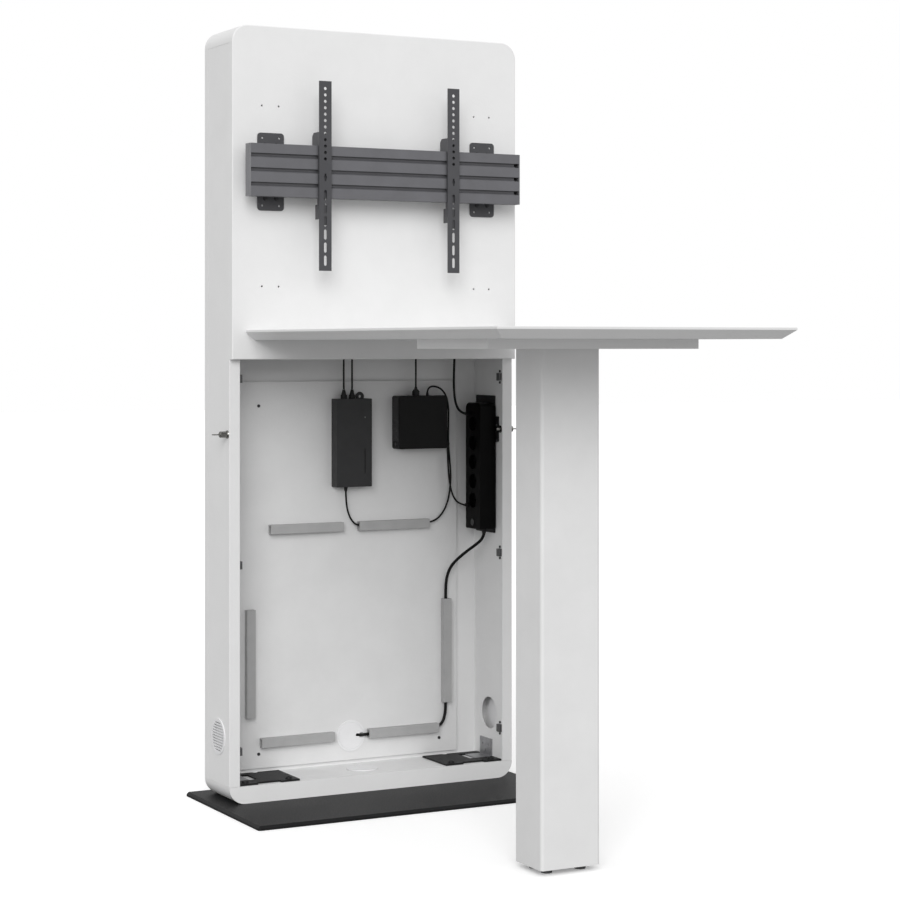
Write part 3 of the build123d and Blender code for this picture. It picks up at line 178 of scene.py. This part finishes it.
# Painted shade: an ambient-occlusion factor darkens the coat's colour down in the grooves, where less light
# reaches.
groove_painted_shade = add(rail_coat, "ShaderNodeAmbientOcclusion", {"Distance": 0.014, "samples": 8})
groove_shade_factor = add(rail_coat, "ShaderNodeMapRange",
           {"From Min": 0.35, "From Max": 0.85, "To Min": 0.5, "To Max": 1.0}, {"Value": (groove_painted_shade, "AO")})
rail_ramp = rail_shader.inputs["Base Color"].links[0].from_node
rail_colour_with_painted_shade = add(rail_coat, "ShaderNodeVectorMath", {"operation": "MULTIPLY"},
            {0: (rail_ramp, "Color"), 1: (groove_shade_factor, "Result")})
rail_coat.node_tree.links.new(rail_colour_with_painted_shade.outputs["Vector"], rail_shader.inputs["Base Color"])
finish_nodes(rail_coat, "rail_aluminium", "rail")

strip_coat = powder_coat("strip_coat", ("#3F3F42", "#48484B"), 2.8, 0.07, 0.42)
finish_nodes(strip_coat, "strip_steel", "strip_left", "strip_right")
bracket_coat = powder_coat("bracket_coat", ("#434346", "#4B4B4E"), 2.8, 0.07, 0.45)
finish_nodes(bracket_coat, "strip_steel", "rail_brackets")


def moulded(name, colours, grain, depth, roughness, settings=None):
    """Injection-moulded plastic: a fine spark-eroded grain, even in colour."""
    material, shader, place = start(name, colours[1], roughness, settings)
    mottle(material, shader, place, colours, 35, 0.25)
    texture = add(material, "ShaderNodeTexVoronoi", {"Scale": per_metre(grain)},
                  {"Vector": (place, "Object")})
    relieve(material, shader, texture, "Distance", depth, 0.6)
    return material


grey_abs = moulded("grey_abs", ("#3C3C3E", "#434345"), 1.2, 0.04, 0.45)
finish_nodes(grey_abs, "rail_plastic", "strip_latch_left", "strip_latch_right")
cap_abs = moulded("cap_abs", ("#707073", "#79797C"), 1.2, 0.04, 0.4)
finish_nodes(cap_abs, "rail_plastic", "rail_end_caps")

# ==== White moulded grommets and grilles ======================================================
# ABS in a slightly cooler white than the paint, smoother, so it shows a soft highlight along its rims.
white_abs = moulded("white_abs", ("#E3E3E4", "#E9E9EA"), 1.0, 0.02, 0.38)
finish_nodes(white_abs, "white_plastic", "vent_grilles", "grommet_rings", "rear_grommet_cap",
             "floor_grommet_cap")

# ==== Cabinet locks ===========================================================================
# Die-cast zinc barrels, plungers and keys in satin nickel: a smooth metal with soft reflections.
satin_nickel, nickel_shader, nickel_place = start("satin_nickel", "#8C8B88", 0.24, {"Metallic": 1.0})
nickel_cloud = mottle(satin_nickel, nickel_shader, nickel_place, ("#7E7D7A", "#9A9996"), 3, 0.2)
polish(satin_nickel, nickel_shader, nickel_cloud, 0.18, 0.3)
finish_nodes(satin_nickel, "lock_metal", "lock_barrels", "lock_plunger_left", "lock_plunger_right",
             "lock_key_left", "lock_key_right")

# ==== Standing table ==========================================================================
# Board with a hard white lacquer, undercut round its edge, on a square steel column in the cabinet's white.
# The lacquer is smoother than the powder coat. The glides and the bay's catches are grey nylon.
white_lacquer = powder_coat("white_lacquer", ("#DEDEDE", "#E2E2E2"), 9.0, 0.05, 0.4)
finish_nodes(white_lacquer, "table_board", "tabletop")
# Painted light: the head plate takes a brighter copy of the tabletop's lacquer, standing in for light that
# falls on it under the table.
painted_light_head_lacquer = powder_coat("painted_light_head_lacquer", ("#F0F0F0", "#F4F4F4"), 9.0, 0.05, 0.4)
finish_nodes(painted_light_head_lacquer, "table_board", "table_head_plate")
leg_coat = powder_coat("leg_coat", ("#DEDEDE", "#E3E3E3"), 6.0, 0.1, 0.48)
finish_nodes(leg_coat, "table_coat", "table_leg")
grey_nylon = moulded("grey_nylon", ("#4C4C4D", "#555556"), 1.0, 0.03, 0.5)
finish_nodes(grey_nylon, "black_plastic", "leg_glide_rear_left", "leg_glide_front_left",
             "leg_glide_rear_right", "leg_glide_front_right", "magnetic_catches")
black_nylon = moulded("black_nylon", ("#161616", "#1D1D1D"), 1.0, 0.03, 0.5)
finish_nodes(black_nylon, "black_plastic", "coupler_bar")

# ==== Cable ducts =============================================================================
# Extruded hard PVC channels with snap-on covers, mid grey and matt.
grey_pvc = moulded("grey_pvc", ("#A2A2A2", "#ABABAB"), 2.4, 0.05, 0.55)
finish_nodes(grey_pvc, "duct_plastic", "duct_bases", "duct_covers")

# ==== Power supply, small computer and power strip ============================================
# Closed polycarbonate and ABS cases. The supply is a textured charcoal, the computer is nearly black, the
# strip black, and their buttons are polished.
charcoal_pc = moulded("charcoal_pc", ("#2B2B2C", "#303031"), 1.4, 0.06, 0.5, {"Specular IOR Level": 0.35})
finish_nodes(charcoal_pc, "supply_plastic", "psu_case")
black_abs = moulded("black_abs", ("#0E0E0E", "#131313"), 1.2, 0.03, 0.42, {"Specular IOR Level": 0.15})
finish_nodes(black_abs, "black_plastic", "pc_case")
strip_abs = moulded("strip_abs", ("#060606", "#0A0A0A"), 1.2, 0.02, 0.38, {"Specular IOR Level": 0.06})
finish_nodes(strip_abs, "black_plastic", "power_strip_case")
gloss_abs = moulded("gloss_abs", ("#0C0C0C", "#101010"), 4.0, 0.005, 0.12)
finish_nodes(gloss_abs, "black_plastic", "pc_button", "power_strip_button")


def blocks(name, boxes, material, edge=0.0003):
    """Small blocks with softened edges as one piece; each is (low corner, high corner)."""
    mesh = bmesh.new()
    for low, high in boxes:
        low, high = Vector(low), Vector(high)
        bmesh.ops.create_cube(mesh, size=1, matrix=Matrix.LocRotScale((low + high) / 2, None, high - low))
    bmesh.ops.bevel(mesh, geom=mesh.edges[:], offset=edge, segments=2, affect="EDGES")
    data = bpy.data.meshes.new(name)
    mesh.to_mesh(data)
    mesh.free()
    data.shade_smooth()
    data.set_sharp_from_angle(angle=math.radians(50))
    data.materials.append(material)
    piece = bpy.data.objects.new(name, data)
    bpy.context.scene.collection.objects.link(piece)
    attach(piece, "cabinet")
    return piece


# The computer's side is a dark grey insert with two columns of vent slots, above the button.
side_grey = moulded("side_grey", ("#262627", "#2E2E2F"), 1.2, 0.03, 0.45, {"Specular IOR Level": 0.3})
pc_low, pc_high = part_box("pc_case")
SKIN, RIM = 0.0006, 0.004         # the insert stands out by its skin, and the case's rim stays round it
BUTTON_GAP = 0.002
SLOTS, SLOT_PITCH, SLOT_HEIGHT, SLOT_MARGIN, SLOT_GAP, SLOT_STEP = 13, 0.0042, 0.0016, 0.003, 0.002, 0.0001
side_front, side_back = pc_low.y + RIM, pc_high.y - RIM
side_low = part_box("pc_button")[1].z + BUTTON_GAP
blocks("pc_side_insert", [((pc_low.x - SKIN, side_front, side_low),
                           (pc_low.x + SKIN, side_back, pc_high.z - RIM))],
       side_grey, SKIN / 2)
# Painted shade: the vent slots are thin glossy black strips on the insert, standing in for the shade inside
# the openings.
slot_length = (side_back - side_front) / 2 - SLOT_MARGIN - SLOT_GAP / 2
slot_shade_strips = []
for k in range(SLOTS):
    slot_low = side_low + RIM + k * SLOT_PITCH
    for slot_front in (side_front + SLOT_MARGIN, side_back - SLOT_MARGIN - slot_length):
        slot_shade_strips.append(((pc_low.x - SKIN - SLOT_STEP, slot_front, slot_low),
                      (pc_low.x, slot_front + slot_length, slot_low + SLOT_HEIGHT)))
blocks("pc_side_slot_shade", slot_shade_strips, gloss_abs, SLOT_STEP)

# A small clear lamp in the supply's front, unlit.
lamp_lens = moulded("lamp_lens", ("#8A8F8A", "#959A95"), 4.0, 0.003, 0.1, {"Transmission Weight": 0.3})
psu_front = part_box("psu_case")[0].y
LAMP_X, LAMP_Z, LAMP_HALF, LAMP_OUT = 0.025, 0.9055, 0.0015, 0.0005
blocks("psu_lamp", [((LAMP_X - LAMP_HALF, psu_front - LAMP_OUT, LAMP_Z - LAMP_HALF),
                     (LAMP_X + LAMP_HALF, psu_front + LAMP_OUT, LAMP_Z + LAMP_HALF))],
       lamp_lens, 0.0004)

# ==== Leads ===================================================================================
# Copper strands in a round PVC jacket, nearly black, smooth with a slight sheen. Each lead hangs and lies in
# the curve that its stiffness gives it.
pvc_jacket, jacket_shader, jacket_place = start("pvc_jacket", "#080808", 0.42, {"Specular IOR Level": 0.18})
jacket_cloud = mottle(pvc_jacket, jacket_shader, jacket_place, ("#060606", "#0B0B0B"), 12, 0.25)
polish(pvc_jacket, jacket_shader, jacket_cloud, 0.36, 0.5)

THIN, UPPER, MAINS = 0.0045, 0.006, 0.0075


def lay_lead(name, route, diameter):
    """A lead whose line is a smooth spline with the route's points as its control points."""
    curve = bpy.data.curves.new(name, "CURVE")
    curve.dimensions = "3D"
    curve.resolution_u = 6
    curve.bevel_depth = diameter / 2
    curve.bevel_resolution = 4
    curve.use_fill_caps = True
    line = curve.splines.new("NURBS")
    line.points.add(len(route) - 1)
    for point, place in zip(line.points, route):
        point.co = (*place, 1)
    line.order_u = 3
    line.use_endpoint_u = True
    curve.materials.append(pvc_jacket)
    piece = bpy.data.objects.new(name, curve)
    bpy.context.scene.collection.objects.link(piece)
    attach(piece, "cabinet")
    return piece


# The supply's two leads and the display's lead run straight up behind the upper panel.
SUPPLY_MID, COMPUTER_MID, COUPLER = 0.140, 0.135, 1.180
SUPPLY_LEADS = (("a", -0.026), ("b", -0.0035))
for name, x in SUPPLY_LEADS:
    lead = lay_lead(f"supply_lead_{name}", [
        (x, SUPPLY_MID, 0.9745), (x, SUPPLY_MID, 1.08), (x, SUPPLY_MID, COUPLER),
    ], THIN)
    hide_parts(f"lead_supply_{name}")
display_lead = lay_lead("display_lead", [
    (0.170, COMPUTER_MID, 0.978), (0.170, COMPUTER_MID, 1.08), (0.170, COMPUTER_MID, COUPLER),
], THIN)
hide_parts("lead_display")

strip_lead = lay_lead("strip_lead", [
    (0.293, 0.139, COUPLER), (0.2875, 0.138, 1.135), (0.2815, 0.1365, 1.082), (0.278, 0.1355, 1.028),
    (0.2765, 0.1345, 0.974), (0.2795, 0.132, 0.938), (0.286, 0.121, 0.915), (0.296, 0.110, 0.911),
], UPPER)
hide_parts("lead_strip_upper")

link_lead = lay_lead("link_lead", [
    (-0.0205, 0.140, 0.724), (-0.0195, 0.1405, 0.700), (-0.014, 0.143, 0.674), (-0.003, 0.1455, 0.652),
    (0.014, 0.147, 0.638), (0.060, 0.147, 0.637), (0.110, 0.147, 0.638), (0.160, 0.147, 0.637),
    (0.206, 0.147, 0.638), (0.234, 0.1465, 0.644), (0.257, 0.146, 0.668), (0.270, 0.146, 0.704),
    (0.275, 0.146, 0.752), (0.271, 0.146, 0.797), (0.2665, 0.146, 0.842), (0.2675, 0.145, 0.887),
    (0.2665, 0.143, 0.927), (0.258, 0.140, 0.957), (0.241, 0.137, 0.975), (0.219, 0.1355, 0.981),
    (0.204, 0.135, 0.976), (0.202, 0.135, 0.965),
], THIN)
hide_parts("lead_link")

computer_lead = lay_lead("computer_lead", [
    (0.256, 0.129, 0.826), (0.2565, 0.1285, 0.800), (0.258, 0.128, 0.768), (0.261, 0.126, 0.733),
    (0.267, 0.121, 0.704), (0.279, 0.1155, 0.686), (0.296, 0.112, 0.682),
], THIN)
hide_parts("lead_computer")

# The mains lead leaves the strip's foot, crosses to the tall duct, follows the ducts to the grommet in the
# back, and its spare length is wound up on the floor behind the cabinet with the plug beside it.
COIL_X, COIL_Y = 0.047, 0.317
PITCH = 0.0077                    # one turn beside the next
OUTER, INNER = 0.0545, 0.0265     # outermost and innermost turn
LAYER = 0.0077                    # upper turns lie on the lower ones
FLOOR_GAP = 0.0002
POINTS_A_TURN = 16
TURNS = 7.25
CLIMB, CLIMBED = 3.6, 3.85        # turns wound when the lead starts to climb, and when it has climbed
mains_route = [
    (0.331, 0.076, 0.612), (0.330, 0.0785, 0.601), (0.322, 0.088, 0.588), (0.305, 0.109, 0.569),
    (0.285, 0.128, 0.547), (0.269, 0.141, 0.524), (0.261, 0.147, 0.493), (0.260, 0.147, 0.446),
    (0.261, 0.147, 0.380), (0.2605, 0.147, 0.310), (0.261, 0.147, 0.240), (0.2605, 0.147, 0.190),
    (0.259, 0.147, 0.155), (0.250, 0.147, 0.132), (0.230, 0.147, 0.1238), (0.190, 0.147, 0.1245),
    (0.140, 0.147, 0.1235), (0.095, 0.147, 0.1244), (0.052, 0.1465, 0.1235), (0.026, 0.150, 0.121),
    (0.015, 0.167, 0.1205),
    (0.014, 0.186, 0.117), (0.014, 0.198, 0.101), (0.0145, 0.202, 0.078), (0.0145, 0.207, 0.055),
    (0.0135, 0.219, 0.035), (0.009, 0.238, 0.018), (0.001, 0.260, 0.007), (-0.005, 0.283, 0.004),
]
for n in range(int(TURNS * POINTS_A_TURN) + 1):
    turn = n / POINTS_A_TURN
    if turn < CLIMB:
        radius = OUTER - (OUTER - INNER) * turn / CLIMB
    else:
        radius = INNER + PITCH * max(0.0, turn - CLIMBED)
    rise = min(1.0, max(0.0, (turn - CLIMB) / (CLIMBED - CLIMB)))
    angle = math.pi - 2 * math.pi * turn
    mains_route.append((COIL_X + radius * math.cos(angle), COIL_Y + radius * math.sin(angle),
                        MAINS / 2 + FLOOR_GAP + LAYER * rise))
plug_low, plug_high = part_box("mains_plug")
plug_y, plug_z = (plug_low.y + plug_high.y) / 2, (plug_low.z + plug_high.z) / 2
mains_route += [(COIL_X + 0.018, plug_y + 0.007, plug_z), (plug_low.x - 0.012, plug_y, plug_z),
                (plug_low.x + 0.001, plug_y, plug_z)]
mains = lay_lead("mains_flex", mains_route, MAINS)
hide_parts("mains_lead", "mains_coil")

# ==== Strain reliefs and small plugs ==========================================================
# Soft PVC moulded over the leads where they enter a case: ribbed and tapered, so a lead bends without a
# kink.
soft_pvc = moulded("soft_pvc", ("#101010", "#151515"), 1.0, 0.02, 0.5, {"Specular IOR Level": 0.3})
STEPS_ROUND = 28


def turned(name, profile, foot, along, material):
    """A piece turned about its own axis; profile lists (distance from the foot, radius) up to the tip."""
    mesh = bmesh.new()
    rings = []
    for distance, radius in profile:
        rings.append([mesh.verts.new((radius * math.cos(2 * math.pi * k / STEPS_ROUND),
                                      radius * math.sin(2 * math.pi * k / STEPS_ROUND), distance))
                      for k in range(STEPS_ROUND)])
    for low, high in zip(rings, rings[1:]):
        for k in range(STEPS_ROUND):
            after = (k + 1) % STEPS_ROUND
            mesh.faces.new((low[k], low[after], high[after], high[k]))
    mesh.faces.new(reversed(rings[0]))
    mesh.faces.new(rings[-1])
    turn = Vector(along).to_track_quat("Z", "Y").to_matrix().to_4x4()
    turn.translation = Vector(foot)
    mesh.transform(turn)
    data = bpy.data.meshes.new(name)
    mesh.to_mesh(data)
    mesh.free()
    data.shade_smooth()
    data.set_sharp_from_angle(angle=math.radians(40))
    data.materials.append(material)
    piece = bpy.data.objects.new(name, data)
    bpy.context.scene.collection.objects.link(piece)
    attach(piece, "cabinet")
    return piece


def ribbed(length, foot, tip, ribs, collar=0.0):
    """Profile of a tapered relief with grooves round it, and an optional thick collar at its foot."""
    profile = [(0.0, foot)]
    if collar:
        profile = [(0.0, foot * 1.25), (collar, foot * 1.25), (collar + 0.0006, foot)]
    base = collar + 0.0012
    pitch = (length - base - 0.001) / ribs
    for k in range(ribs):
        radius = foot + (tip - foot) * k / ribs
        at = base + k * pitch
        profile += [(at, radius), (at + 0.55 * pitch, radius * 0.985), (at + 0.62 * pitch, radius * 0.84),
                    (at + 0.92 * pitch, radius * 0.83)]
    return profile + [(length - 0.0006, tip), (length, tip * 0.9)]


reliefs = [
    *((f"supply_relief_{name}", ribbed(0.0225, 0.0062, 0.0034, 5, 0.009), (x, SUPPLY_MID, 0.9515), (0, 0, 1))
      for name, x in SUPPLY_LEADS),
    ("supply_tail_relief", ribbed(0.0112, 0.0052, 0.0031, 3), (-0.0205, SUPPLY_MID, 0.7351), (0, 0, -1)),
    ("display_plug_relief", ribbed(0.0065, 0.0045, 0.0032, 2), (0.170, COMPUTER_MID, 0.972), (0, 0, 1)),
    ("link_plug", ribbed(0.0085, 0.0038, 0.0029, 2), (0.202, COMPUTER_MID, 0.957), (0, 0, 1)),
    ("mains_relief", ribbed(0.0125, 0.0068, 0.0047, 3), (0.331, 0.076, 0.6242), (0, 0, -1)),
    ("strip_relief", ribbed(0.0085, 0.0054, 0.0038, 2), (0.3041, 0.110, 0.911), (-1, 0, 0)),
    ("computer_relief", ribbed(0.0085, 0.0054, 0.0030, 2), (0.3041, 0.112, 0.682), (-1, 0, 0)),
    ("side_plug_neck", [(0, 0.0044), (0.011, 0.0046), (0.0143, 0.0046), (0.015, 0.0038)],
     (0.2451, 0.129, 0.836), (1, 0, 0)),
    ("side_plug_relief", ribbed(0.0105, 0.0038, 0.0028, 3), (0.256, 0.129, 0.836), (0, 0, -1)),
]
for name, profile, foot, along in reliefs:
    turned(name, profile, foot, along, soft_pvc)

# The display's plug is a flat housing with a stepped neck; the relief grows out of it.
display_plug = blocks("display_plug", [
    ((0.1625, COMPUTER_MID - 0.006, 0.957), (0.1775, COMPUTER_MID + 0.006, 0.9695)),
    ((0.1638, COMPUTER_MID - 0.0048, 0.9690), (0.1762, COMPUTER_MID + 0.0048, 0.9722)),
], soft_pvc, 0.0008)
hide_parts("lead_plugs")
finish_nodes(soft_pvc, "black_plastic", "mains_plug")

# The plug's two pins are bare metal past their moulded sleeves.
PIN_LENGTH, PIN_RADIUS, PIN_PITCH, SLEEVE, PIN_TIP = 0.019, 0.00246, 0.019, 0.008, 0.0006
pin_profile = [(SLEEVE, PIN_RADIUS), (PIN_LENGTH - PIN_TIP, PIN_RADIUS), (PIN_LENGTH, PIN_RADIUS * 0.7)]
for name, side in (("plug_pin_a", -1), ("plug_pin_b", 1)):
    pin = turned(name, pin_profile, (plug_high.x - PIN_LENGTH, plug_y + side * PIN_PITCH / 2, plug_z),
                 (1, 0, 0), zinc_plate)

# ==== Studio ==================================================================================
# A white sweep under an even surround, with one broad sun low at the front left. The sweep that the camera
# sees sends no light back up; a duller floor just below it does, so the undersides stay darker.
FLOOR_HALF = 30.0
floor_paint = start("floor_paint", "#FAFAFA", 0.9,
                    {"Emission Color": linear("#FFFFFF"), "Emission Strength": 0.2})[0]
bounce_paint = start("bounce_paint", "#A0A0A0", 0.9, {"Specular IOR Level": 0.2})[0]
corners = [(-FLOOR_HALF, -FLOOR_HALF), (FLOOR_HALF, -FLOOR_HALF), (FLOOR_HALF, FLOOR_HALF),
           (-FLOOR_HALF, FLOOR_HALF)]
for name, paint, height, seen in (("floor", floor_paint, 0.0, True),
                                  ("floor_bounce", bounce_paint, -0.002, False)):
    sheet = bpy.data.meshes.new(name)
    sheet.from_pydata([(x, y, height) for x, y in corners], [], [(0, 1, 2, 3)])
    sheet.materials.append(paint)
    floor = bpy.data.objects.new(name, sheet)
    bpy.context.scene.collection.objects.link(floor)
    floor.visible_camera = seen
    floor.visible_diffuse = floor.visible_glossy = floor.visible_shadow = not seen

world = bpy.data.worlds.new("surround")
bpy.context.scene.world = world
world.use_nodes = True
surround = world.node_tree.nodes["Background"]
surround.inputs["Color"].default_value = linear("#FFFFFF")
surround.inputs["Strength"].default_value = 0.74
backdrop = world.node_tree.nodes.new("ShaderNodeBackground")
backdrop.inputs["Color"].default_value = linear("#FFFFFF")
rays = world.node_tree.nodes.new("ShaderNodeLightPath")
either = world.node_tree.nodes.new("ShaderNodeMixShader")
world.node_tree.links.new(rays.outputs["Is Camera Ray"], either.inputs["Fac"])
world.node_tree.links.new(surround.outputs["Background"], either.inputs[1])
world.node_tree.links.new(backdrop.outputs["Background"], either.inputs[2])
world.node_tree.links.new(either.outputs["Shader"], world.node_tree.nodes["World Output"].inputs["Surface"])

key = bpy.data.lights.new("key", "SUN")
key.energy = 0.56 * math.pi
key.angle = math.radians(40)
key_lamp = bpy.data.objects.new("key", key)
light_travels = Vector((0.41, 0.71, -0.42))
key_lamp.rotation_euler = light_travels.to_track_quat("-Z", "Y").to_euler()
bpy.context.scene.collection.objects.link(key_lamp)

lens = bpy.data.cameras.new("camera")
lens.lens = 89.79
lens.sensor_width = 36
lens.shift_y = -0.1163
camera = bpy.data.objects.new("camera", lens)
camera.location = (-2.3755, -4.844, 1.0822)
camera.rotation_euler = (math.radians(90), 0, math.radians(-27.95))
bpy.context.scene.collection.objects.link(camera)
bpy.context.scene.camera = camera
bpy.context.scene.view_settings.view_transform = "Standard"
